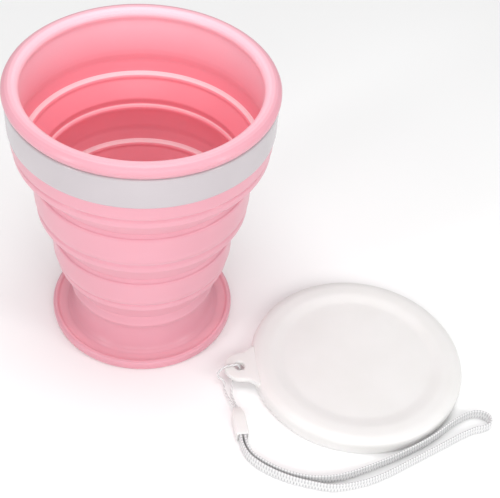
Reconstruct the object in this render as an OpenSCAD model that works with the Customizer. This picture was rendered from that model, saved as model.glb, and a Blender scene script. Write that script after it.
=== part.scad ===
// Collapsible travel cup: a ribbed silicone body that folds down into a flat
// puck, a rigid band round its mouth, a stopper lid and a wrist lanyard.
// The origin is on the cup's axis, on the surface that the foot stands on.

/* [Cup] */
// Height of the open cup
cup_h = 100; // [92:0.5:125]
// Outer diameter of the rolled lip
rim_d = 85; // [78:0.5:105]
// Thickness of the lip, measured along a radius
lip_w = 5.3; // [4.4:0.1:6.5]
// Height of the lip
lip_h = 4.4; // [3.4:0.1:6]
// Thickness of the rigid silicone walls
wall = 2.4; // [1.8:0.1:3]
// Thickness of the thin fold walls
fold_wall = 1.3; // [0.9:0.1:1.8]

/* [Steps] */
// Step in from the lip to the silicone of the mouth collar
collar_step = 1.2; // [0.6:0.1:2]
// Outer diameter of the upper ring
upper_ring_d = 70.8; // [66:0.2:73]
// Outer diameter of the lower ring
lower_ring_d = 60.8; // [57:0.2:63]
// Outer diameter of the neck's shoulder
shoulder_d = 50.6; // [46:0.2:53]
// Height of the upper ring
upper_ring_h = 11.6; // [9:0.1:14]
// Height of the lower ring
lower_ring_h = 10.4; // [8:0.1:13]
// Height of each fold, from its hinge groove down to the next shoulder
fold_h = 13.2; // [11:0.1:15]
// Height of the bead under each hinge groove
bead_h = 3.7; // [2.8:0.1:4.5]
// Depth of each hinge groove
groove_d = 0.9; // [0.5:0.1:1.2]

/* [Foot] */
// Outer diameter of the foot
foot_d = 64; // [58:0.5:68]
// Height of the foot's raised edge
foot_edge_h = 4; // [3:0.1:5.5]
// Thickness of the cup's floor
floor_t = 3.6; // [2.5:0.1:5]
// Outer diameter of the neck's waist
waist_d = 47.4; // [43:0.2:48]
// Height of the neck's shoulder above the table
neck_h = 17.5; // [15:0.5:22]

/* [Band] */
// Height of the rigid band
band_h = 10.9; // [8:0.1:13]
// Thickness of the rigid band
band_t = 1.4; // [1:0.1:2]
// How far the band stands out from the silicone
band_proud = 0.7; // [0.2:0.1:1]
// Gap between the lip's underside and the band
band_gap = 0.1; // [0:0.1:2]

/* [Lid] */
// Radial clearance of the lid in the mouth
lid_clear = 0.3; // [0.1:0.05:0.6]
// Height of the lid
lid_h = 6; // [5:0.1:8]
// Wall thickness of the lid
lid_t = 1.7; // [1.2:0.1:2.2]
// Draft of the lid's skirt, measured along a radius
lid_draft = 0.3; // [0:0.05:0.6]
// Diameter of the lid's sunken centre
lid_well_d = 52; // [40:0.5:56]
// Depth of the lid's sunken centre
lid_well_h = 0.9; // [0.5:0.1:1.2]
// Length of the tab beyond the skirt
tab_l = 9.5; // [8:0.1:14]
// Width of the tab
tab_w = 11.6; // [10:0.1:14]
// Thickness of the tab
tab_t = 2.2; // [1.6:0.1:3]
// Diameter of the lanyard hole
tab_hole_d = 3.4; // [2.6:0.1:4]
// Distance from the tab's tip to the middle of its hole
tab_hole_in = 5.2; // [4:0.1:6.5]
// Tab's tip from the cup's axis, to the right
tab_x = 27.7; // [27:0.1:40]
// Tab's tip from the cup's axis, towards the front
tab_y = 35.1; // [34:0.1:45]

/* [Lanyard] */
// Width of the woven strap
strap_w = 4; // [3:0.1:4.2]
// Thickness of the woven strap
strap_t = 1.1; // [0.8:0.1:1.2]
// Diameter of the lanyard string
string_d = 0.8; // [0.6:0.1:1]
// Width of the clasp at the strap's end
clasp_w = 4.8; // [4:0.1:6]
// Width of the clasp at the string's end
clasp_tip_w = 3.6; // [3:0.1:5]
// Height of the clasp
clasp_h = 4.4; // [4.2:0.1:5.5]

/* [Hidden] */

silicone = [0.95, 0.70, 0.74];
band_white = [0.90, 0.88, 0.89];
lid_white = [0.93, 0.92, 0.91];
strap_white = [0.88, 0.88, 0.88];

// Heights of the hinge lines, from the table up
z_neck = neck_h;
z_lower_bottom = z_neck + fold_h;
z_lower_top = z_lower_bottom + lower_ring_h;
z_upper_bottom = z_lower_top + fold_h;
z_upper_top = z_upper_bottom + upper_ring_h;
z_collar = z_upper_top + fold_h;

// Outer radii of the rigid zones
collar_r = rim_d / 2 - collar_step;
upper_r = upper_ring_d / 2;
lower_r = lower_ring_d / 2;
shoulder_r = shoulder_d / 2;
foot_r = foot_d / 2;
waist_r = waist_d / 2;

// The lip is an ellipse in section
lip_cr = (rim_d - lip_w) / 2;
lip_cz = cup_h - lip_h / 2;
mouth_r = rim_d / 2 - lip_w;
collar_inner_r = collar_r - wall - band_proud;
band_r = collar_r + band_proud;
band_seat_r = band_r - band_t;
band_z1 = cup_h - lip_h - band_gap;
band_z0 = band_z1 - band_h;

// The notch over each shoulder, where the fold meets the ring below it
notch_d = 0.6;
notch_h = 1.3;
// The bead's rounding, and the hollow that the fold starts from under it
bead_round = 0.8;
bead_in = 2.4;
bead_under = 1.2;
// Inner faces: the crease at each hinge line and the ridge behind each bead
inner_crease = 0.35;
ridge_d = 0.7;
ridge_h = 1.1;
inner_ease = 0.1;
// Rounding of each shoulder and of the groove's lower lip
shoulder_round = 0.9;
groove_lip = 1;
taper = 0.15;

round_fn = 96;

// Points of an elliptical arc in the r-z plane
function arc(cr, cz, a, b, from, to, n) =
  [for (i = [0:n]) let (t = from + (to - from) * i / n) [cr + a * cos(t), cz + b * sin(t)]];

// Section of a fold, from its hinge groove at z1 down to the shoulder of radius r0 at z0
function fold_section(r1, z1, r0, z0) =
  let (
    bead_z = z1 - bead_h,
    bead_c = r1 - bead_round,
    web_z = bead_z - bead_under,
    web_r = fold_wall * 1.15,
    hinge_r = r1 - wall + inner_crease - inner_ease
  ) concat(
    [[r1 - groove_d, z1]],
    arc(bead_c, z1 - bead_round * 1.6, bead_round, bead_round, 90, 0, 5),
    arc(bead_c, bead_z + bead_round, bead_round, bead_round, 0, -80, 5),
    [[r1 - bead_in, web_z], [r0 - notch_d, z0 + notch_h * 0.6], [r0 - notch_d, z0]],
    [
      [r0 - wall + inner_crease, z0],
      [r0 - notch_d - web_r, z0 + notch_h],
      [r1 - bead_in - web_r, web_z],
      [r1 - wall - ridge_d, bead_z],
      [r1 - wall - ridge_d + inner_ease, bead_z + ridge_h],
      [hinge_r, z1]
    ]
  );

// Section of a rigid ring, from its shoulder at z1 down to its hinge groove at z0
function ring_section(r, z1, z0) =
  let (
    inner_r = r - wall,
    shoulder_z = z1 - shoulder_round * 1.2
  ) concat(
    [[r - notch_d, z1]],
    arc(r - shoulder_round, shoulder_z, shoulder_round, shoulder_round, 70, 0, 5),
    [[r - taper, z0 + groove_lip], [r - groove_d, z0]],
    [
      [inner_r + inner_crease - inner_ease, z0],
      [inner_r - inner_ease, z0 + groove_lip * 1.4],
      [inner_r - inner_ease, z1 - notch_h * 2.3],
      [inner_r, z1 - notch_h],
      [inner_r + inner_crease, z1]
    ]
  );

module turned(points) {
  rotate_extrude($fn = round_fn) polygon(points);
}

// Floor, dished flange, waist and neck in one moulding
module foot() {
  sole_round = 1.2;
  edge_round = 1.3;
  dish_z = foot_edge_h - 1.3;
  crease_r = foot_r - 5.2;
  inner_r = waist_r - wall;
  waist_z0 = foot_edge_h + 5;
  waist_z1 = z_neck - 5.5;
  color(silicone) turned(concat(
    [[0, 0], [foot_r - sole_round, 0]],
    arc(foot_r - sole_round, sole_round, sole_round, sole_round, -60, 0, 3),
    arc(foot_r - edge_round, foot_edge_h - edge_round, edge_round, edge_round, 0, 160, 8),
    [
      [foot_r - 3.1, dish_z + 0.1],
      [crease_r + 0.6, dish_z],
      [crease_r, dish_z + 0.6],
      [waist_r + 1.9, foot_edge_h + 0.3],
      [waist_r + 0.6, foot_edge_h + 2.2],
      [waist_r, waist_z0],
      [waist_r, waist_z1],
      [waist_r + 0.7, waist_z1 + 1.9]
    ],
    arc(shoulder_r - 0.9, z_neck - 1.7, 0.9, 1.3, -20, 65, 6),
    [[shoulder_r - notch_d, z_neck]],
    [
      [shoulder_r - wall + inner_crease, z_neck],
      [shoulder_r - wall - inner_ease, z_neck - 2],
      [inner_r, z_neck - 5],
      [inner_r, floor_t + 3],
      [inner_r - 1, floor_t + 0.9],
      [inner_r - 3, floor_t],
      [0, floor_t]
    ]
  ));
}

module lower_fold() {
  color(silicone) turned(fold_section(lower_r, z_lower_bottom, shoulder_r, z_neck));
}

module lower_ring() {
  color(silicone) turned(ring_section(lower_r, z_lower_top, z_lower_bottom));
}

module middle_fold() {
  color(silicone) turned(fold_section(upper_r, z_upper_bottom, lower_r, z_lower_top));
}

module upper_ring() {
  color(silicone) turned(ring_section(upper_r, z_upper_top, z_upper_bottom));
}

module upper_fold() {
  color(silicone) turned(fold_section(collar_r, z_collar, upper_r, z_upper_top));
}

// Mouth wall with the band's seat and the rolled lip
module mouth_collar() {
  inner_angle = 360 - acos((collar_inner_r - lip_cr) / (lip_w / 2));
  outer_angle = -acos((collar_r - lip_cr) / (lip_w / 2));
  color(silicone) turned(concat(
    [
      [collar_r - groove_d, z_collar],
      [collar_r, z_collar + groove_lip],
      [collar_r, band_z0],
      [band_seat_r, band_z0],
      [band_seat_r, band_z1],
      [collar_r, band_z1]
    ],
    arc(lip_cr, lip_cz, lip_w / 2, lip_h / 2, outer_angle, inner_angle, 26),
    [
      [collar_inner_r, z_collar + 2.5],
      [collar_r - wall + inner_crease - inner_ease, z_collar]
    ]
  ));
}

// Stiff ring that keeps the mouth round, pressed into its seat in the collar
module rigid_band() {
  edge = 0.4;
  color(band_white) turned([
    [band_seat_r, band_z0],
    [band_r - edge, band_z0],
    [band_r, band_z0 + edge],
    [band_r, band_z1 - edge],
    [band_r - edge, band_z1],
    [band_seat_r, band_z1]
  ]);
}

lid_r = mouth_r - lid_clear;
tab_turn = 184.5;
tab_reach = lid_r + tab_l;
tab_z = lid_h - tab_t;
hole_x = tab_reach - tab_hole_in;
lid_at = [tab_x, -tab_y] - tab_reach * [cos(tab_turn), sin(tab_turn)];
lid_edge = 1.5;
tab_fillet = 2.2;
tab_root = 6;

// Tongue of the lid, with the two fillets that join it to the skirt
module tab_outline() {
  tip_r = tab_w / 2;
  fillet_y = tip_r + tab_fillet;
  difference() {
    union() {
      translate([tab_reach - tip_r, 0]) circle(r = tip_r, $fn = 48);
      translate([lid_r - tab_root, -tip_r]) square([tab_l + tab_root - tip_r, tab_w]);
      translate([lid_r - tab_root, -fillet_y]) square([tab_root + 1.2, 2 * fillet_y]);
    }
    for (side = [-1, 1])
      translate([lid_r + 1.9, side * fillet_y]) circle(r = tab_fillet, $fn = 32);
  }
}

// Stopper lid: a plug with a drafted skirt, a sunken centre and the lanyard tab
module lid() {
  well_r = lid_well_d / 2;
  inner_r = lid_r - lid_t;
  tab_sunk = 0.3;
  inner_round = 0.8;
  color(lid_white) translate(lid_at) rotate(tab_turn) difference() {
    union() {
      turned(concat(
        [[inner_r - lid_draft, 0], [lid_r - lid_draft, 0]],
        arc(lid_r - lid_edge, lid_h - lid_edge, lid_edge, lid_edge, 0, 90, 6),
        [
          [well_r + 1.2, lid_h],
          [well_r, lid_h - lid_well_h],
          [0, lid_h - lid_well_h],
          [0, lid_h - lid_well_h - lid_t],
          [well_r + 0.6, lid_h - lid_well_h - lid_t],
          [well_r + 1.8, lid_h - lid_t],
          [inner_r - inner_round, lid_h - lid_t],
          [inner_r, lid_h - lid_t - inner_round]
        ]
      ));
      translate([0, 0, tab_z]) linear_extrude(tab_t - tab_sunk) difference() {
        tab_outline();
        circle(r = inner_r, $fn = round_fn);
      }
    }
    translate([hole_x, 0, tab_z - 1]) cylinder(d = tab_hole_d, h = tab_t + 2, $fn = 48);
  }
}

// Route of the string: up from the clasp, out past the tab's tip, over the tab,
// down through its hole and back to the clasp
string_route = [
  [30.7, -50.4, 2.3], [29.5, -47.4, 1.9], [28.3, -44.0, 1.3], [27.6, -40.9, 1.2],
  [27.7, -38.9, 1.6], [27.0, -37.8, 2.1], [25.9, -37.4, 2.8], [25.5, -36.9, 3.9],
  [26.4, -36.3, 5.4], [27.8, -35.8, 6.4], [29.6, -35.2, 6.4], [31.3, -34.9, 6.4],
  [32.5, -34.7, 5.8], [33.0, -34.8, 4.6], [32.9, -35.3, 3.1], [32.0, -36.6, 2.7],
  [30.7, -38.4, 2.2], [30.0, -41.0, 1.6], [30.0, -44.0, 1.2], [30.7, -47.4, 1.7],
  [31.6, -50.3, 2.3]
];

// Route of the strap's middle, out along the side next to the lid and back
strap_z = 2.1;
strap_route = [
  [33.2, -62.0], [33.8, -65.8], [35.7, -69.4], [40.2, -73.2], [46.2, -76.5],
  [52.4, -78.3], [58.4, -78.6], [64.6, -77.6], [71.5, -75.3], [78.5, -72.4],
  [86.2, -68.8], [95.2, -63.8], [103.6, -57.6], [109.6, -54.4], [113.6, -54.0],
  [116.2, -55.6], [116.2, -58.4], [113.6, -60.0], [110.2, -60.8], [104.8, -63.2],
  [97.0, -67.4], [88.0, -72.2], [79.3, -76.8], [73.0, -79.6], [66.2, -81.4],
  [59.6, -82.0], [52.4, -80.4], [45.6, -78.0], [39.2, -74.4], [34.5, -70.2],
  [32.4, -66.0], [31.8, -62.1]
];

// Smooth curve through a route's points
function bend(p, q, r, s, t) =
  0.5 * (2 * q + (r - p) * t + (2 * p - 5 * q + 4 * r - s) * t * t
    + (3 * q - p - 3 * r + s) * t * t * t);
function smooth(route, steps) =
  let (last = len(route) - 1) concat(
    [for (i = [0:last - 1], k = [0:steps - 1])
      bend(route[max(i - 1, 0)], route[i], route[i + 1], route[min(i + 2, last)], k / steps)],
    [route[last]]
  );
function unit(v) = v / norm(v);
function heading(path, i) = unit(path[min(i + 1, len(path) - 1)] - path[max(i - 1, 0)]);

// Closed tube through a list of rings that all have the same number of points
module tube(rings) {
  sides = len(rings[0]);
  last = len(rings) - 1;
  polyhedron(
    points = [for (ring = rings) each ring],
    faces = concat(
      [[for (j = [0:sides - 1]) j]],
      [for (i = [0:last - 1], j = [0:sides - 1])
        let (a = i * sides + j, b = i * sides + (j + 1) % sides)
          [a, a + sides, b]],
      [for (i = [0:last - 1], j = [0:sides - 1])
        let (a = i * sides + j, b = i * sides + (j + 1) % sides)
          [b, a + sides, b + sides]],
      [[for (j = [sides - 1:-1:0]) last * sides + j]]
    )
  );
}

// Ring of a round cord, square to its path, turned about a fixed upright
function cord_ring(at, along, r) =
  let (
    side = unit(cross(along, abs(along[2]) > 0.8 ? [0, 1, 0] : [0, 0, 1])),
    up = cross(side, along)
  ) [for (j = [0:7]) at + r * (cos(j * 45) * side + sin(j * 45) * up)];

// Ring of the flat strap, which stands on its edge
function strap_ring(at, along) =
  let (
    side = [along[1], -along[0], 0] * strap_t / 2,
    up = [0, 0, strap_w / 2],
    soft = 0.8
  ) [
    at + side + up * soft, at + side * 0.5 + up, at - side * 0.5 + up, at - side + up * soft,
    at - side - up * soft, at - side * 0.5 - up, at + side * 0.5 - up, at + side - up * soft
  ];

module lanyard_string() {
  path = smooth(string_route, 1);
  color(strap_white) tube([for (i = [0:len(path) - 1])
    cord_ring(path[i], heading(path, i), string_d / 2)]);
}

module wrist_strap() {
  path = smooth([for (p = strap_route) [p[0], p[1], strap_z]], 2);
  color(strap_white) tube([for (i = [0:len(path) - 1])
    strap_ring(path[i], heading(path, i))]);
}

// Moulded sleeve that grips the string's two ends and the strap's two ends
module lanyard_clasp() {
  tip = [31.15, -50.35];
  tail = [32.5, -62.05];
  length = norm(tail - tip);
  turn = atan2(tail[1] - tip[1], tail[0] - tip[0]);
  color(lid_white) translate(tip) rotate(turn) linear_extrude(clasp_h) polygon([
    [0, -clasp_tip_w / 2 + 1.1], [0.4, -clasp_tip_w / 2 + 0.35], [1.2, -clasp_tip_w / 2],
    [length - 0.8, -clasp_w / 2], [length, -clasp_w / 2 + 0.6],
    [length, clasp_w / 2 - 0.6], [length - 0.8, clasp_w / 2],
    [1.2, clasp_tip_w / 2], [0.4, clasp_tip_w / 2 - 0.35], [0, clasp_tip_w / 2 - 1.1]
  ]);
}

foot();
lower_fold();
lower_ring();
middle_fold();
upper_ring();
upper_fold();
mouth_collar();
rigid_band();
lid();
lanyard_string();
lanyard_clasp();
wrist_strap();
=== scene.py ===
import math

import bpy
from mathutils import Matrix, Vector


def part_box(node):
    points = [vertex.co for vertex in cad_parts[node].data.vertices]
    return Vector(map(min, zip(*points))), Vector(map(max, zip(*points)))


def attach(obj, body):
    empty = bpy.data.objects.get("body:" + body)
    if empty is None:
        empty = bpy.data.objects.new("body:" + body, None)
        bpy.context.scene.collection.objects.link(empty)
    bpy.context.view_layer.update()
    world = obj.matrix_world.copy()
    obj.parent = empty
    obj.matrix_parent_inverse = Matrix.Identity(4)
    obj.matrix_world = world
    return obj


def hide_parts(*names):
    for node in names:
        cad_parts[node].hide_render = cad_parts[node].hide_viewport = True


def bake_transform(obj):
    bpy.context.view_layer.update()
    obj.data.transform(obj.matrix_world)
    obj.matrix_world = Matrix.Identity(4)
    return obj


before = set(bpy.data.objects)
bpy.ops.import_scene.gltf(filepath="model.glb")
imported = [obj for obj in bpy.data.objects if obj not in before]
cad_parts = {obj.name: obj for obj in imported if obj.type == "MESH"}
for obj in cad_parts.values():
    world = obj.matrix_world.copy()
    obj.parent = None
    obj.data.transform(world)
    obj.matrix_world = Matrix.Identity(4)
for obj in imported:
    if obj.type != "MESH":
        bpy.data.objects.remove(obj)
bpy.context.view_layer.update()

MM = 0.001

# ---------------------------------------------------------------------------
# Camera and room
# The camera looks down on the cup from the front at about 45 degrees, turned a
# little to the right so that the lid and the strap lie beside the cup.
camera_at = (0, -0.280, 0.3049)
tilt_down = 44.75
turn_aside = 5.42
camera_data = bpy.data.cameras.new("camera")
camera_data.sensor_width = 36
camera_data.lens = 81.4
camera_data.clip_start = 0.01
camera = bpy.data.objects.new("camera", camera_data)
bpy.context.scene.collection.objects.link(camera)
look_down = Matrix.Rotation(math.radians(90 - tilt_down), 4, "X")
turn_right = Matrix.Rotation(math.radians(-turn_aside), 4, "Y")
camera.matrix_world = Matrix.Translation(camera_at) @ look_down @ turn_right
bpy.context.scene.camera = camera
bpy.context.scene.view_settings.view_transform = "Standard"

# The floor is a plain pale sheet. Light comes from a soft panel overhead, a
# wide softbox in front, a strip at each side and an even white surround.
bpy.ops.object.select_all(action="DESELECT")
bpy.ops.mesh.primitive_plane_add(size=6, location=(0, 0, 0))
floor = bpy.context.active_object
floor.name = "floor"
floor_paint = bpy.data.materials.new("pale_floor")
floor_paint.use_nodes = True
floor_shader = floor_paint.node_tree.nodes["Principled BSDF"]
floor_shader.inputs["Base Color"].default_value = (0.95, 0.95, 0.95, 1)
floor_shader.inputs["Roughness"].default_value = 0.8
floor_shader.inputs["Specular IOR Level"].default_value = 0.1
floor.data.materials.append(floor_paint)

surround = bpy.data.worlds.new("surround")
surround.use_nodes = True
surround.node_tree.nodes["Background"].inputs["Color"].default_value = (1, 1, 1, 1)
surround.node_tree.nodes["Background"].inputs["Strength"].default_value = 0.35
bpy.context.scene.world = surround


def softbox(name, at, aim, width, height, power):
    """A rectangular area light at one point, aimed at another."""
    light = bpy.data.lights.new(name, "AREA")
    light.shape = "RECTANGLE"
    light.size = width
    light.size_y = height
    light.energy = power
    holder = bpy.data.objects.new(name, light)
    holder.location = at
    holder.rotation_mode = "QUATERNION"
    holder.rotation_quaternion = (Vector(aim) - Vector(at)).to_track_quat("-Z", "Y")
    bpy.context.scene.collection.objects.link(holder)


set_middle = (0.03, -0.02, 0.05)
softbox("ceiling", (0.02, 0.02, 0.75), set_middle, 0.50, 0.40, 2.5)
softbox("front_box", (0.04, -0.66, 0.46), (0, 0, 0.08), 0.9, 0.35, 2.9)
softbox("left_strip", (-0.52, -0.36, 0.34), set_middle, 0.06, 0.55, 1.3)
softbox("right_strip", (0.58, -0.36, 0.34), set_middle, 0.06, 0.55, 1.3)

# ---------------------------------------------------------------------------
# Foot
# The bottom of the one-piece cup, compression moulded in soft pink silicone: a
# flat base with a rounded lip, a dished flare and the neck that carries the cup.


def arc(centre, half, start, end, count):
    """Stations round part of an ellipse, set out a little so that rounding lands on it."""
    step = math.radians(end - start) / (count - 1)
    grow = 3 / (2 + math.cos(step))
    angles = [math.radians(start) + i * step for i in range(count)]
    return [(centre[0] + half[0] * grow * math.cos(a), centre[1] + half[1] * grow * math.sin(a))
            for a in angles]


def turned(name, outline, sides=72, crisp=()):
    """A moulding turned about the upright axis. A circle is raised from station to station of
    the outline, radius and height in millimetres, and closed on itself or on the axis. The
    rings at the crisp stations stay sharp when the piece is rounded."""
    on_axis = outline[0][0] == 0
    stations = outline[1:] if on_axis else outline + outline[:1]
    r, z = stations[0]
    bpy.ops.object.select_all(action="DESELECT")
    bpy.ops.mesh.primitive_circle_add(vertices=sides, radius=r * MM, location=(0, 0, z * MM),
                                      fill_type="TRIFAN" if on_axis else "NOTHING")
    piece = bpy.context.active_object
    piece.name = name
    bpy.ops.object.transform_apply(location=True)
    bpy.ops.object.mode_set(mode="EDIT")
    bpy.ops.mesh.select_mode(type="EDGE")
    bpy.ops.mesh.select_all(action="DESELECT")
    bpy.ops.mesh.select_non_manifold(extend=False)
    if (r, z) in crisp:
        bpy.ops.transform.edge_crease(value=1)
    for next_r, next_z in stations[1:]:
        bpy.ops.mesh.extrude_region_move(
            TRANSFORM_OT_translate={"value": (0, 0, (next_z - z) * MM)})
        bpy.ops.transform.resize(value=(next_r / r, next_r / r, 1),
                                 center_override=(0, 0, next_z * MM))
        r, z = next_r, next_z
        if (r, z) in crisp:
            bpy.ops.transform.edge_crease(value=1)
    bpy.ops.mesh.select_all(action="SELECT")
    bpy.ops.mesh.remove_doubles(threshold=0.001 * MM)
    bpy.ops.mesh.normals_make_consistent(inside=False)
    bpy.ops.object.mode_set(mode="OBJECT")
    return piece


def rounded(piece, levels=2):
    """Rounds a piece with a subdivision surface, applies it and shades it smooth."""
    bpy.ops.object.select_all(action="DESELECT")
    piece.select_set(True)
    bpy.context.view_layer.objects.active = piece
    rounding = piece.modifiers.new("rounding", "SUBSURF")
    rounding.levels = levels
    rounding.render_levels = levels
    bpy.ops.object.modifier_apply(modifier=rounding.name)
    bpy.ops.object.shade_smooth_by_angle(angle=math.radians(40))


def pink_silicone():
    """Soft satin silicone, with painted light and shade. The outside is painted darker and
    duller, mottled at random; the inside is lighter and a deeper pink below the lip, most between
    about 66 and 78 mm up; the grooves get painted shade and the tops of the inner ledges a
    painted highlight."""
    made = bpy.data.materials.new("pink_silicone")
    made.use_nodes = True
    nodes, links = made.node_tree.nodes, made.node_tree.links
    shader = nodes["Principled BSDF"]
    shader.inputs["IOR"].default_value = 1.41
    shader.inputs["Subsurface Weight"].default_value = 0.12
    shader.inputs["Subsurface Radius"].default_value = (0.0015, 0.0006, 0.0006)
    shader.inputs["Subsurface Scale"].default_value = 1
    shader.inputs["Sheen Weight"].default_value = 0.06
    shader.inputs["Sheen Roughness"].default_value = 0.5
    shader.inputs["Coat Weight"].default_value = 0.14
    shader.inputs["Coat Roughness"].default_value = 0.16
    where = nodes.new("ShaderNodeTexCoord")

    # How far a spot faces the cup's axis: the inside is 1 and the outside is 0.
    from_axis = nodes.new("ShaderNodeVectorMath")
    from_axis.operation = "MULTIPLY"
    from_axis.inputs[1].default_value = (1, 1, 0)
    links.new(where.outputs["Object"], from_axis.inputs[0])
    outward = nodes.new("ShaderNodeVectorMath")
    outward.operation = "NORMALIZE"
    links.new(from_axis.outputs["Vector"], outward.inputs[0])
    facing = nodes.new("ShaderNodeVectorMath")
    facing.operation = "DOT_PRODUCT"
    links.new(outward.outputs["Vector"], facing.inputs[0])
    links.new(where.outputs["Normal"], facing.inputs[1])
    inside = nodes.new("ShaderNodeMapRange")
    inside.inputs["From Min"].default_value = 0.45
    inside.inputs["From Max"].default_value = -0.35
    links.new(facing.outputs["Value"], inside.inputs["Value"])

    # The inside's colour by height, from just above the foot up to the lip: painted light,
    # lighter than the outside, with painted shade deepening it below the lip, most between about
    # 66 and 78 mm up.
    place = nodes.new("ShaderNodeSeparateXYZ")
    links.new(where.outputs["Object"], place.inputs["Vector"])
    height = nodes.new("ShaderNodeMapRange")
    height.inputs["From Min"].default_value = 0.0
    height.inputs["From Max"].default_value = 0.1
    links.new(place.outputs["Z"], height.inputs["Value"])
    depth = nodes.new("ShaderNodeValToRGB")
    depth.color_ramp.elements[0].position = 0.10
    depth.color_ramp.elements[0].color = (0.95, 0.52, 0.59, 1)
    depth.color_ramp.elements[1].position = 0.93
    depth.color_ramp.elements[1].color = (1.0, 0.57, 0.65, 1)
    for at, colour in ((0.30, (1.0, 0.46, 0.53, 1)), (0.55, (1.0, 0.42, 0.49, 1)),
                       (0.66, (1.0, 0.32, 0.39, 1)), (0.78, (1.0, 0.34, 0.41, 1)),
                       (0.82, (1.0, 0.41, 0.485, 1))):
        depth.color_ramp.elements.new(at).color = colour
    links.new(height.outputs["Result"], depth.inputs["Fac"])
    cloud = nodes.new("ShaderNodeTexNoise")
    cloud.inputs["Scale"].default_value = 28
    cloud.inputs["Detail"].default_value = 3
    links.new(where.outputs["Object"], cloud.inputs["Vector"])
    # The outside's colour: mottled at random, and painted darker and duller than the inside as
    # painted shade.
    outside_shade_mottle = nodes.new("ShaderNodeValToRGB")
    outside_shade_mottle.color_ramp.elements[0].position = 0.3
    outside_shade_mottle.color_ramp.elements[0].color = (0.715, 0.335, 0.400, 1)
    outside_shade_mottle.color_ramp.elements[1].position = 0.7
    outside_shade_mottle.color_ramp.elements[1].color = (0.745, 0.355, 0.425, 1)
    links.new(cloud.outputs["Fac"], outside_shade_mottle.inputs["Fac"])
    sides = nodes.new("ShaderNodeMix")
    sides.data_type = "RGBA"
    links.new(inside.outputs["Result"], sides.inputs["Factor"])
    links.new(outside_shade_mottle.outputs["Color"], sides.inputs["A"])
    links.new(depth.outputs["Color"], sides.inputs["B"])
    # Painted shade: ambient occlusion darkens the colour in the grooves and recesses.
    hollow = nodes.new("ShaderNodeAmbientOcclusion")
    hollow.inputs["Distance"].default_value = 0.007
    hollow.samples = 8
    links.new(sides.outputs["Result"], hollow.inputs["Color"])
    groove = nodes.new("ShaderNodeValToRGB")
    groove.color_ramp.elements[0].position = 0.35
    groove.color_ramp.elements[0].color = (0.96, 0.82, 0.84, 1)
    groove.color_ramp.elements[1].position = 0.95
    groove.color_ramp.elements[1].color = (1, 1, 1, 1)
    links.new(hollow.outputs["AO"], groove.inputs["Fac"])
    tone = nodes.new("ShaderNodeMix")
    tone.data_type = "RGBA"
    tone.blend_type = "MULTIPLY"
    tone.inputs["Factor"].default_value = 1
    links.new(sides.outputs["Result"], tone.inputs["A"])
    links.new(groove.outputs["Color"], tone.inputs["B"])

    # Painted highlight: the upward-facing tops of the ledges inside are paled, only on the inside
    # and between about 25 and 89 mm up.
    upward = nodes.new("ShaderNodeSeparateXYZ")
    links.new(where.outputs["Normal"], upward.inputs["Vector"])
    upward_highlight = nodes.new("ShaderNodeMapRange")
    upward_highlight.inputs["From Min"].default_value = 0.50
    upward_highlight.inputs["From Max"].default_value = 0.90
    links.new(upward.outputs["Z"], upward_highlight.inputs["Value"])
    under_lip = nodes.new("ShaderNodeMapRange")
    under_lip.inputs["From Min"].default_value = 0.92
    under_lip.inputs["From Max"].default_value = 0.86
    links.new(height.outputs["Result"], under_lip.inputs["Value"])
    above_foot = nodes.new("ShaderNodeMapRange")
    above_foot.inputs["From Min"].default_value = 0.22
    above_foot.inputs["From Max"].default_value = 0.28
    links.new(height.outputs["Result"], above_foot.inputs["Value"])
    band_of_cup = nodes.new("ShaderNodeMath")
    band_of_cup.operation = "MULTIPLY"
    links.new(under_lip.outputs["Result"], band_of_cup.inputs[0])
    links.new(above_foot.outputs["Result"], band_of_cup.inputs[1])
    inner_top = nodes.new("ShaderNodeMath")
    inner_top.operation = "MULTIPLY"
    links.new(upward_highlight.outputs["Result"], inner_top.inputs[0])
    links.new(inside.outputs["Result"], inner_top.inputs[1])
    ledge = nodes.new("ShaderNodeMath")
    ledge.operation = "MULTIPLY"
    links.new(inner_top.outputs["Value"], ledge.inputs[0])
    links.new(band_of_cup.outputs["Value"], ledge.inputs[1])
    pale = nodes.new("ShaderNodeMix")
    pale.data_type = "RGBA"
    pale.inputs["B"].default_value = (1.0, 0.74, 0.78, 1)
    links.new(ledge.outputs["Value"], pale.inputs["Factor"])
    links.new(tone.outputs["Result"], pale.inputs["A"])
    links.new(pale.outputs["Result"], shader.inputs["Base Color"])

    gloss = nodes.new("ShaderNodeMapRange")
    gloss.inputs["To Min"].default_value = 0.30
    gloss.inputs["To Max"].default_value = 0.42
    links.new(cloud.outputs["Fac"], gloss.inputs["Value"])
    links.new(gloss.outputs["Result"], shader.inputs["Roughness"])
    grain = nodes.new("ShaderNodeTexNoise")
    grain.inputs["Scale"].default_value = 2600
    grain.inputs["Detail"].default_value = 2
    links.new(where.outputs["Object"], grain.inputs["Vector"])
    bump = nodes.new("ShaderNodeBump")
    bump.inputs["Strength"].default_value = 0.12
    bump.inputs["Distance"].default_value = 0.00004
    links.new(grain.outputs["Fac"], bump.inputs["Height"])
    links.new(bump.outputs["Normal"], shader.inputs["Normal"])
    return made


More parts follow.
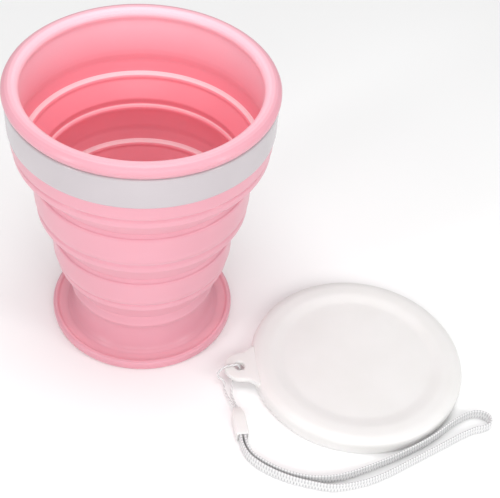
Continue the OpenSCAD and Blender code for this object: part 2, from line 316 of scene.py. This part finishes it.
silicone = pink_silicone()
neck_z = 17.5
neck_r = 25.3
foot_top = (neck_r - 0.6, neck_z)
foot_top_inside = (neck_r - 2.05, neck_z)
foot_outline = [(0, 0), (20, 0), (29.4, 0), (30.6, 0), (31.5, 0.25), (31.95, 1.0), (32.0, 2.6)]
foot_outline += arc((31.05, 2.95), (0.95, 1.0), 20, 150, 6)
foot_outline += [(30.0, 3.05), (29.2, 2.75), (27.8, 2.6), (26.8, 2.75), (26.35, 3.15),
                 (26.0, 3.5), (25.5, 3.75), (24.8, 4.7), (24.15, 6.4), (23.75, 9),
                 (23.7, 12), (24.3, 13.8)]
foot_outline += arc((24.4, 15.8), (0.9, 1.3), -30, 55, 4)
foot_outline += [foot_top, foot_top_inside, (22.8, 15.5), (21.4, 12.5), (21.2, 9.5),
                 (21.2, 6.6), (20.2, 4.5), (18.3, 3.65), (15, 3.6), (8, 3.6), (0, 3.6)]
foot = turned("silicone_foot", foot_outline, crisp=(foot_top, foot_top_inside))
rounded(foot)
foot.data.materials.append(silicone)
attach(foot, "foot")
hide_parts("foot")

# ---------------------------------------------------------------------------
# Folds
# The three thin cones of the same moulding, each with a bead round its upper edge.
# They turn inside out one after the other when the cup is pressed flat.
lower_r, lower_z0, lower_z1 = 30.4, 30.7, 41.1
upper_r, upper_z0, upper_z1 = 35.4, 54.3, 65.9
collar_r, collar_z0 = 41.3, 79.1
bead_h = 3.7


def fold(name, r0, z0, r1, z1, tuck):
    """A cone from the ring below, at r0 and z0, up to the ring above, at r1 and z1. Its bead
    stands back from the ring above by the tuck."""
    bead_z = z1 - bead_h
    bead_r = r1 - tuck
    ends = ((r1 - 0.9, z1), (r0 - 0.6, z0), (r0 - 2.05, z0), (r1 - 2.15, z1))
    outside = [(bead_r - 2.1, bead_z - 1.2), (r0 - 1.15, z0 + 1.3)]
    inside = [(r0 - 2.2, z0 + 1.2), (r1 - 4.75, bead_z - 2.4)]

    def between(pair, share):
        return tuple(a + (b - a) * share for a, b in zip(*pair))

    outline = [ends[0], (r1 - 0.95, z1 - 0.35), (bead_r - 0.3, z1 - 0.6), (bead_r, z1 - 1.2),
               (bead_r, z1 - 1.9), (bead_r, bead_z + 0.9), (bead_r - 0.25, bead_z + 0.2),
               (bead_r - 0.9, bead_z - 0.2), (bead_r - 1.6, bead_z - 0.6), outside[0],
               between(outside, 0.33), between(outside, 0.67), outside[1],
               (r0 - 0.85, z0 + 0.5), ends[1], ends[2],
               inside[0], between(inside, 0.33), between(inside, 0.67), inside[1],
               (r1 - 4.75, bead_z - 1.5), (r1 - 4.4, bead_z - 0.9), (r1 - 3.6, bead_z - 0.6),
               (r1 - 2.95, bead_z - 0.2), (r1 - 2.65, bead_z + 0.9), (r1 - 2.4, z1 - 1.5),
               (r1 - 2.18, z1 - 0.6), ends[3]]
    piece = turned(name, outline, crisp=ends)
    rounded(piece)
    piece.data.materials.append(silicone)
    return piece


for name, node, below, above, r0, z0, r1, z1, tuck in (
        ("silicone_fold_lower", "lower_fold", "foot", "lower",
         neck_r, neck_z, lower_r, lower_z0, 1.1),
        ("silicone_fold_middle", "middle_fold", "lower", "upper",
         lower_r, lower_z1, upper_r, upper_z0, 0.6),
        ("silicone_fold_upper", "upper_fold", "upper", "mouth",
         upper_r, upper_z1, collar_r, collar_z0, 0.5)):
    cone = fold(name, r0, z0, r1, z1, tuck)
    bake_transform(cone)
    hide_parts(node)

# ---------------------------------------------------------------------------
# Rings
# The two stiff steps of the moulding between the folds, thicker than the cones, with
# a rounded shoulder on top and a hinge groove underneath.


def ring(name, r, z0, z1):
    """A step of the cup at its outer radius, from its hinge groove up to its shoulder."""
    ends = ((r - 0.6, z1), (r - 0.9, z0), (r - 2.15, z0), (r - 2.05, z1))
    middle_z = (z0 + z1) / 2
    outline = [ends[0], (r - 0.25, z1 - 0.25), (r, z1 - 0.9), (r, z1 - 2.0), (r, middle_z),
               (r - 0.08, z0 + 2.2), (r - 0.3, z0 + 1.1), (r - 0.6, z0 + 0.45), ends[1],
               ends[2], (r - 2.18, z0 + 0.6), (r - 2.35, z0 + 1.8), (r - 2.5, middle_z),
               (r - 2.75, z1 - 3.8), (r - 3.1, z1 - 2.6), (r - 3.05, z1 - 1.8),
               (r - 2.6, z1 - 1.2), (r - 2.12, z1 - 0.8), (r - 2.04, z1 - 0.4), ends[3]]
    piece = turned(name, outline, crisp=ends)
    rounded(piece)
    piece.data.materials.append(silicone)
    return piece


for name, node, body, r, z0, z1 in (
        ("silicone_ring_lower", "lower_ring", "lower", lower_r, lower_z0, lower_z1),
        ("silicone_ring_upper", "upper_ring", "upper", upper_r, upper_z0, upper_z1)):
    step_ring = ring(name, r, z0, z1)
    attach(step_ring, body)
    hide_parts(node)

# ---------------------------------------------------------------------------
# Mouth collar
# The top of the moulding: a plain strip under the band, the shallow seat that the
# band snaps over, and the fat rolled lip that one drinks from.
band_z0, band_z1 = 84.6, 95.5
seat_r = 40.6
collar_ends = ((collar_r - 0.9, collar_z0), (collar_r - 2.15, collar_z0))
collar_outline = [collar_ends[0], (41.02, 79.4), (41.28, 80.1), (41.3, 81.2), (41.3, 83.4),
                  (41.3, 84.45), (41.15, 84.58), (seat_r, band_z0), (seat_r, 88), (seat_r, 92),
                  (seat_r, band_z1), (41.2, 95.52), (41.5, 95.7)]
collar_outline += arc((39.85, 97.8), (2.64, 2.16), -35, 220, 12)
collar_outline += [(38.2, 95.4), (38.2, 92), (38.2, 87), (38.22, 84.0), (38.45, 82.0),
                   (38.9, 80.5), (39.13, 79.7), collar_ends[1]]
collar = turned("silicone_mouth", collar_outline, crisp=collar_ends, sides=96)
rounded(collar)
collar.data.materials.append(silicone)
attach(collar, "mouth")
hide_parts("mouth_collar")

# ---------------------------------------------------------------------------
# Band
# A hoop of glossy white plastic that stiffens the mouth. It is moulded apart and
# snapped into its seat under the lip.
band_r = 42.0
band_outline = [(band_r, 90), (band_r, 93.6), (band_r - 0.02, 94.9), (band_r - 0.2, 95.3),
                (band_r - 0.6, 95.45), (seat_r + 0.25, 95.45), (seat_r + 0.02, 95.2),
                (seat_r + 0.02, 90), (seat_r + 0.02, 84.9), (seat_r + 0.25, 84.65),
                (band_r - 0.6, 84.65), (band_r - 0.2, 84.8), (band_r - 0.02, 85.2),
                (band_r, 86.5)]
band = turned("mouth_band", band_outline, sides=96)
rounded(band)


def gloss_white():
    """Polished white plastic, a little warm, with faint ripples from the mould and dull
    patches where it has been handled."""
    made = bpy.data.materials.new("gloss_white")
    made.use_nodes = True
    nodes, links = made.node_tree.nodes, made.node_tree.links
    shader = nodes["Principled BSDF"]
    shader.inputs["IOR"].default_value = 1.52
    where = nodes.new("ShaderNodeTexCoord")
    cloud = nodes.new("ShaderNodeTexNoise")
    cloud.inputs["Scale"].default_value = 45
    cloud.inputs["Detail"].default_value = 4
    links.new(where.outputs["Object"], cloud.inputs["Vector"])
    tone = nodes.new("ShaderNodeValToRGB")
    tone.color_ramp.elements[0].position = 0.3
    tone.color_ramp.elements[0].color = (0.505, 0.462, 0.485, 1)
    tone.color_ramp.elements[1].position = 0.7
    tone.color_ramp.elements[1].color = (0.540, 0.496, 0.519, 1)
    links.new(cloud.outputs["Fac"], tone.inputs["Fac"])
    links.new(tone.outputs["Color"], shader.inputs["Base Color"])
    gloss = nodes.new("ShaderNodeMapRange")
    gloss.inputs["To Min"].default_value = 0.14
    gloss.inputs["To Max"].default_value = 0.26
    links.new(cloud.outputs["Fac"], gloss.inputs["Value"])
    links.new(gloss.outputs["Result"], shader.inputs["Roughness"])
    ripple = nodes.new("ShaderNodeTexNoise")
    ripple.inputs["Scale"].default_value = 160
    ripple.inputs["Detail"].default_value = 1
    links.new(where.outputs["Object"], ripple.inputs["Vector"])
    bump = nodes.new("ShaderNodeBump")
    bump.inputs["Strength"].default_value = 0.08
    bump.inputs["Distance"].default_value = 0.0001
    links.new(ripple.outputs["Fac"], bump.inputs["Height"])
    links.new(bump.outputs["Normal"], shader.inputs["Normal"])
    return made


band.data.materials.append(gloss_white())
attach(band, "mouth")
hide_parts("rigid_band")

# ---------------------------------------------------------------------------
# Lid
# A stopper of milky plastic: a drafted skirt that pushes into the mouth, a rounded
# shoulder, a sunken round panel, and a tab with the hole for the lanyard.
lid_low, lid_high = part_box("lid")
lid_r = 36.9
lid_h = 6.0
lid_middle = Vector((lid_high.x - lid_r * MM, (lid_low.y + lid_high.y) / 2, 0))
panel_r = 25.2
panel_z = 5.1
slope_r = 30.2
shoulder_r = 33.6
lid_outline = [(0, 3.4), (14, 3.4), (panel_r, 3.4), (panel_r + 1.6, 3.5), (slope_r - 0.6, 4.1),
               (slope_r + 1, 4.3), (lid_r - 3.6, 4.3), (lid_r - 2.4, 4.1), (lid_r - 1.85, 3.4),
               (lid_r - 1.8, 2.2), (lid_r - 1.95, 0.4), (lid_r - 1.85, 0.05),
               (lid_r - 1.5, 0.0), (lid_r - 0.75, 0.0), (lid_r - 0.4, 0.1), (lid_r - 0.28, 0.5),
               (lid_r - 0.08, 2.2), (lid_r, 3.5), (lid_r - 0.1, 4.4), (lid_r - 0.55, 5.1),
               (lid_r - 1.4, 5.55), (shoulder_r + 0.7, 5.86), (shoulder_r, 5.96),
               (shoulder_r - 0.8, lid_h), (slope_r + 0.9, lid_h), (slope_r, lid_h - 0.03),
               (slope_r - 1.0, lid_h - 0.16), (panel_r + 1.6, panel_z + 0.2),
               (panel_r + 0.6, panel_z + 0.05), (panel_r - 0.4, panel_z), (panel_r - 5, panel_z),
               (10, panel_z), (0, panel_z)]
lid = turned("lid_stopper", lid_outline, sides=96)
rounded(lid)


def milky_plastic():
    """Satin milky plastic that lets some light through, cloudy inside, with a fine grain."""
    made = bpy.data.materials.new("milky_plastic")
    made.use_nodes = True
    nodes, links = made.node_tree.nodes, made.node_tree.links
    shader = nodes["Principled BSDF"]
    shader.inputs["Subsurface Weight"].default_value = 0.35
    shader.inputs["Subsurface Radius"].default_value = (0.003, 0.003, 0.0028)
    shader.inputs["Subsurface Scale"].default_value = 1
    shader.inputs["IOR"].default_value = 1.49
    where = nodes.new("ShaderNodeTexCoord")
    cloud = nodes.new("ShaderNodeTexNoise")
    cloud.inputs["Scale"].default_value = 60
    cloud.inputs["Detail"].default_value = 2
    links.new(where.outputs["Object"], cloud.inputs["Vector"])
    tone = nodes.new("ShaderNodeValToRGB")
    tone.color_ramp.elements[0].position = 0.3
    tone.color_ramp.elements[0].color = (0.76, 0.75, 0.735, 1)
    tone.color_ramp.elements[1].position = 0.7
    tone.color_ramp.elements[1].color = (0.79, 0.78, 0.77, 1)
    links.new(cloud.outputs["Fac"], tone.inputs["Fac"])
    links.new(tone.outputs["Color"], shader.inputs["Base Color"])
    gloss = nodes.new("ShaderNodeMapRange")
    gloss.inputs["To Min"].default_value = 0.32
    gloss.inputs["To Max"].default_value = 0.44
    links.new(cloud.outputs["Fac"], gloss.inputs["Value"])
    links.new(gloss.outputs["Result"], shader.inputs["Roughness"])
    grain = nodes.new("ShaderNodeTexNoise")
    grain.inputs["Scale"].default_value = 2200
    grain.inputs["Detail"].default_value = 2
    links.new(where.outputs["Object"], grain.inputs["Vector"])
    bump = nodes.new("ShaderNodeBump")
    bump.inputs["Strength"].default_value = 0.12
    bump.inputs["Distance"].default_value = 0.00004
    links.new(grain.outputs["Fac"], bump.inputs["Height"])
    links.new(bump.outputs["Normal"], shader.inputs["Normal"])
    return made


milky = milky_plastic()

# The tab is a tongue with a round end and flared roots. A ring of points round the hole is
# raised outwards to the tongue's edge, so that the hole and the edge round over evenly.
tab_w = 11.6
tab_z0, tab_z1 = 3.6, 5.6
tab_reach = lid_r + 9.5
hole_r = 1.7
hole_x = tab_reach - 5.2
tip_x = tab_reach - tab_w / 2
root_x = lid_r - 1.9


def tab_edge(turn):
    """The tongue's edge in the direction turn from the middle of its hole, in millimetres."""
    reach = 0.0
    while True:
        x = hole_x + reach * math.cos(turn)
        y = abs(reach * math.sin(turn))
        if x > tip_x:
            inside = math.hypot(x - tip_x, y) < tab_w / 2
        else:
            flare = max(0.0, 1 - (x - root_x) / 5.2)
            inside = x > root_x and y < tab_w / 2 + 4.0 * flare ** 2.2
        if not inside:
            return x - hole_x, reach * math.sin(turn)
        reach += 0.02


bpy.ops.object.select_all(action="DESELECT")
bpy.ops.mesh.primitive_circle_add(vertices=64, radius=hole_r * MM)
tab = bpy.context.active_object
tab.name = "lid_tab"
bpy.ops.object.mode_set(mode="EDIT")
bpy.ops.mesh.select_mode(type="VERT")
bpy.ops.mesh.select_all(action="SELECT")
for share in (0.12, 0.5, 0.92, 1.0):
    bpy.ops.mesh.extrude_region_move()
    bpy.ops.object.mode_set(mode="OBJECT")
    for vertex in tab.data.vertices:
        if vertex.select:
            turn = math.atan2(vertex.co.y, vertex.co.x)
            x, y = tab_edge(turn)
            from_hole = (hole_r * math.cos(turn), hole_r * math.sin(turn))
            vertex.co.x = (from_hole[0] + (x - from_hole[0]) * share) * MM
            vertex.co.y = (from_hole[1] + (y - from_hole[1]) * share) * MM
    bpy.ops.object.mode_set(mode="EDIT")
bpy.ops.mesh.select_all(action="SELECT")
bpy.ops.mesh.extrude_region_move(TRANSFORM_OT_translate={"value": (0, 0, (tab_z1 - tab_z0) * MM)})
bpy.ops.mesh.select_all(action="SELECT")
bpy.ops.mesh.normals_make_consistent(inside=False)
bpy.ops.object.mode_set(mode="OBJECT")
tab.location = (hole_x * MM, 0, tab_z0 * MM)
bpy.ops.object.transform_apply(location=True)
rounded(tab, 1)


step = lid.modifiers.new("tab_joined_on", "BOOLEAN")
step.operation = "UNION"
step.object = tab
step.solver = "EXACT"
bpy.ops.object.select_all(action="DESELECT")
lid.select_set(True)
bpy.context.view_layer.objects.active = lid
bpy.ops.object.modifier_apply(modifier=step.name)
bpy.data.objects.remove(tab)
lid_turn = math.radians(184.5)
lid.location = lid_middle
lid.rotation_euler = (0, 0, lid_turn)
bpy.ops.object.transform_apply(location=True, rotation=True)
bpy.ops.object.shade_smooth_by_angle(angle=math.radians(35))
lid.data.materials.clear()
lid.data.materials.append(milky)
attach(lid, "lid")
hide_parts("lid")

# ---------------------------------------------------------------------------
# Clasp
# A small moulded sleeve of the same milky plastic, flat and tapered. The string's
# ends go into its narrow end and the strap's two ends into the slot in its wide end.
clasp_tip = Vector((31.15, -50.35, 0)) * MM
clasp_tail = Vector((32.5, -62.05, 0)) * MM
clasp_w, clasp_h = 4.4, 4.4
clasp_along = clasp_tail - clasp_tip


def choose(piece, wanted):
    """Opens a piece for editing with only the wanted faces selected."""
    bpy.ops.object.mode_set(mode="OBJECT")
    mesh = piece.data
    for part in (mesh.vertices, mesh.edges, mesh.polygons):
        part.foreach_set("select", [False] * len(part))
    for face in mesh.polygons:
        face.select = wanted(face)
    bpy.ops.object.mode_set(mode="EDIT")
    bpy.ops.mesh.select_mode(type="FACE")


bpy.ops.object.select_all(action="DESELECT")
bpy.ops.mesh.primitive_cube_add(size=1)
clasp = bpy.context.active_object
clasp.name = "lanyard_clasp_sleeve"
clasp.scale = (clasp_along.length, clasp_w * MM, clasp_h * MM)
bpy.ops.object.transform_apply(scale=True)
choose(clasp, lambda face: True)
bpy.ops.mesh.subdivide(number_cuts=3)
choose(clasp, lambda face: face.normal.x < -0.9)
bpy.ops.transform.resize(value=(1, 0.50, 0.55))
bpy.ops.mesh.inset(thickness=0.30 * MM)
bpy.ops.mesh.extrude_region_move(TRANSFORM_OT_translate={"value": (0.5 * MM, 0, 0)})
choose(clasp, lambda face: face.normal.x > 0.9)
bpy.ops.transform.resize(value=(1, 0.96, 0.96))
bpy.ops.mesh.inset(thickness=0.30 * MM)
bpy.ops.mesh.inset(thickness=0.18 * MM)
bpy.ops.mesh.extrude_region_move(TRANSFORM_OT_translate={"value": (-0.5 * MM, 0, 0)})
bpy.ops.object.mode_set(mode="OBJECT")
clasp.location = (clasp_tip + clasp_tail) / 2 + Vector((0, 0, clasp_h / 2 * MM))
clasp.rotation_euler = (0, 0, math.atan2(clasp_along.y, clasp_along.x))
bpy.ops.object.transform_apply(location=True, rotation=True)
rounded(clasp)
clasp.data.materials.append(milky)
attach(clasp, "lid")
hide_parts("lanyard_clasp")

# ---------------------------------------------------------------------------
# Lanyard string
# Thin two-ply white cord. From the clasp it runs up past the tab's end, over the
# tab, down through the hole and back into the clasp.
string_d = 0.8 * MM
string_points = [
    (30.7, -50.4, 2.3), (29.5, -47.4, 1.9), (28.3, -44.0, 1.3), (27.6, -40.9, 1.2),
    (27.7, -38.9, 1.6), (27.0, -37.8, 2.1), (25.9, -37.4, 2.8), (25.5, -36.9, 3.9),
    (26.4, -36.3, 5.4), (27.8, -35.8, 6.4), (29.6, -35.2, 6.4), (31.3, -34.9, 6.4),
    (32.5, -34.7, 5.8), (33.0, -34.8, 4.6), (32.9, -35.3, 3.1), (32.0, -36.6, 2.7),
    (30.7, -38.4, 2.2), (30.0, -41.0, 1.6), (30.0, -44.0, 1.2), (30.7, -47.4, 1.7),
    (31.6, -50.3, 2.3),
]


def route(points, step):
    """A smooth line through points in millimetres, with a point about every step metres."""
    knots = [Vector(p) * MM for p in points]
    fine = []
    for i in range(len(knots) - 1):
        p, q = knots[max(i - 1, 0)], knots[i]
        r, s = knots[i + 1], knots[min(i + 2, len(knots) - 1)]
        for k in range(40):
            t = k / 40
            fine.append(0.5 * (2 * q + (r - p) * t + (2 * p - 5 * q + 4 * r - s) * t ** 2
                               + (3 * q - p - 3 * r + s) * t ** 3))
    fine.append(knots[-1])
    gone = [0.0]
    for a, b in zip(fine, fine[1:]):
        gone.append(gone[-1] + (b - a).length)
    count = round(gone[-1] / step)
    line = []
    i = 0
    for k in range(count + 1):
        want = gone[-1] * k / count
        while i < len(fine) - 2 and gone[i + 1] < want:
            i += 1
        share = (want - gone[i]) / max(gone[i + 1] - gone[i], 1e-12)
        line.append(fine[i].lerp(fine[i + 1], share))
    return line


def swept(name, line, section):
    """A closed tube along a line. section(i, at, along) gives one station's ring of points, each
    with the height of the yarn there, from 0 in a gap to 1. The UV map keeps that height in U
    and the distance along the tube in V."""
    rings = []
    for i, at in enumerate(line):
        along = (line[min(i + 1, len(line) - 1)] - line[max(i - 1, 0)]).normalized()
        rings.append(section(i, at, along))
    sides = len(rings[0])
    last = len(rings) - 1
    faces = [(i * sides + j, (i + 1) * sides + j,
              (i + 1) * sides + (j + 1) % sides, i * sides + (j + 1) % sides)
             for i in range(last) for j in range(sides)]
    faces.append(tuple(range(sides)))
    faces.append(tuple(last * sides + j for j in reversed(range(sides))))
    mesh = bpy.data.meshes.new(name)
    mesh.from_pydata([p for station in rings for p, relief in station], [], faces)
    step = (line[1] - line[0]).length
    layer = mesh.uv_layers.new(name="relief")
    for loop in mesh.loops:
        i, j = divmod(loop.vertex_index, sides)
        layer.data[loop.index].uv = (rings[i][j][1], i * step / (10 * MM))
    piece = bpy.data.objects.new(name, mesh)
    bpy.context.scene.collection.objects.link(piece)
    bpy.ops.object.select_all(action="DESELECT")
    piece.select_set(True)
    bpy.context.view_layer.objects.active = piece
    bpy.ops.object.mode_set(mode="EDIT")
    bpy.ops.mesh.select_all(action="SELECT")
    bpy.ops.mesh.normals_make_consistent(inside=False)
    bpy.ops.object.mode_set(mode="OBJECT")
    bpy.ops.object.shade_smooth_by_angle(angle=math.radians(60))
    return piece


def white_yarn():
    """White polyester yarn with fine fuzz; painted shade makes it grey in the gaps of the weave
    and white on top.
    """
    made = bpy.data.materials.new("white_yarn")
    made.use_nodes = True
    nodes, links = made.node_tree.nodes, made.node_tree.links
    shader = nodes["Principled BSDF"]
    shader.inputs["Roughness"].default_value = 0.7
    shader.inputs["Sheen Weight"].default_value = 0.2
    shader.inputs["Sheen Roughness"].default_value = 0.4
    weave = nodes.new("ShaderNodeUVMap")
    weave.uv_map = "relief"
    split = nodes.new("ShaderNodeSeparateXYZ")
    links.new(weave.outputs["UV"], split.inputs["Vector"])
    where = nodes.new("ShaderNodeTexCoord")
    fuzz = nodes.new("ShaderNodeTexNoise")
    fuzz.inputs["Scale"].default_value = 5000
    fuzz.inputs["Detail"].default_value = 3
    links.new(where.outputs["Object"], fuzz.inputs["Vector"])
    uneven = nodes.new("ShaderNodeMapRange")
    uneven.inputs["To Min"].default_value = -0.2
    uneven.inputs["To Max"].default_value = 0.2
    links.new(fuzz.outputs["Fac"], uneven.inputs["Value"])
    yarn = nodes.new("ShaderNodeMath")
    links.new(split.outputs["X"], yarn.inputs[0])
    links.new(uneven.outputs["Result"], yarn.inputs[1])
    # Painted shade: the yarn is grey in the gaps of the weave and white on top.
    tone = nodes.new("ShaderNodeValToRGB")
    tone.color_ramp.elements[0].position = 0.10
    tone.color_ramp.elements[0].color = (0.50, 0.50, 0.51, 1)
    tone.color_ramp.elements[1].position = 0.62
    tone.color_ramp.elements[1].color = (0.74, 0.74, 0.74, 1)
    links.new(yarn.outputs["Value"], tone.inputs["Fac"])
    links.new(tone.outputs["Color"], shader.inputs["Base Color"])
    bump = nodes.new("ShaderNodeBump")
    bump.inputs["Strength"].default_value = 0.35
    bump.inputs["Distance"].default_value = 0.00006
    links.new(yarn.outputs["Value"], bump.inputs["Height"])
    links.new(bump.outputs["Normal"], shader.inputs["Normal"])
    return made


string_step = 0.12 * MM
lay_length = 3.6 * MM
string_line = route(string_points, string_step)
ply_twist = 2 * math.pi * string_step / lay_length


def string_section(i, at, along):
    """Two plies laid round each other: a waisted section that turns along the cord."""
    upright = Vector((0, 1, 0)) if abs(along.z) > 0.8 else Vector((0, 0, 1))
    side = along.cross(upright).normalized()
    up = side.cross(along)
    station = []
    for j in range(16):
        turn = 2 * math.pi * j / 16
        ply = math.cos(2 * (turn - ply_twist * i))
        reach = string_d / 2 * (0.87 + 0.09 * ply)
        place = at + reach * (math.cos(turn) * side + math.sin(turn) * up)
        station.append((place, 0.6 + 0.4 * ply))
    return station


string = swept("lanyard_string_twisted", string_line, string_section)
string.data.materials.append(white_yarn())
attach(string, "lid")
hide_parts("lanyard_string")

# ---------------------------------------------------------------------------
# Wrist strap
# A narrow tape woven in white polyester, both ends held in the clasp. It stands on
# its edge on the table in one long flattened loop in front of the lid.
strap_w = 4.0 * MM
strap_t = 1.1 * MM
strap_z = 2.1
strap_points = [
    (33.2, -62.0), (33.8, -65.8), (35.7, -69.4), (40.2, -73.2), (46.2, -76.5),
    (52.4, -78.3), (58.4, -78.6), (64.6, -77.6), (71.5, -75.3), (78.5, -72.4),
    (86.2, -68.8), (95.2, -63.8), (103.6, -57.6), (109.6, -54.4), (113.6, -54.0),
    (116.2, -55.6), (116.2, -58.4), (113.6, -60.0), (110.2, -60.8), (104.8, -63.2),
    (97.0, -67.4), (88.0, -72.2), (79.3, -76.8), (73.0, -79.6), (66.2, -81.4),
    (59.6, -82.0), (52.4, -80.4), (45.6, -78.0), (39.2, -74.4), (34.5, -70.2),
    (32.4, -66.0), (31.8, -62.1),
]
strap_step = 0.16 * MM
strap_line = route([(x, y, strap_z) for x, y in strap_points], strap_step)
rib_pitch = 1.0 * MM
rib_h = 0.10 * MM


def strap_section(i, at, along):
    """A rounded tape section. Ribs cross both faces between two corded edges and a middle
    cord, and neighbouring panels are half a rib out of step."""
    side = Vector((along.y, -along.x, 0)).normalized()
    station = []
    for j in range(36):
        turn = 2 * math.pi * j / 36
        across = math.copysign(abs(math.cos(turn)) ** 0.75, math.cos(turn))
        through = math.copysign(abs(math.sin(turn)) ** 0.42, math.sin(turn))
        panel = 0.5 if across > 0 else 0.0
        rib = 0.5 + 0.5 * math.sin(2 * math.pi * (i * strap_step / rib_pitch + panel))
        cord = max(0.0, 1 - abs(abs(across) - 0.86) / 0.12, 1 - abs(across) / 0.12)
        height = max(rib, 0.55 * cord)
        thick = through * (strap_t / 2 - 0.18 * MM + rib_h * (height + 0.3 * cord))
        place = at + Vector((0, 0, 1)) * across * (strap_w / 2 - 0.1 * MM) + side * thick
        station.append((place, height))
    return station


strap = swept("wrist_strap_woven", strap_line, strap_section)
strap.data.materials.append(string.data.materials[0])
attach(strap, "lid")
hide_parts("wrist_strap")
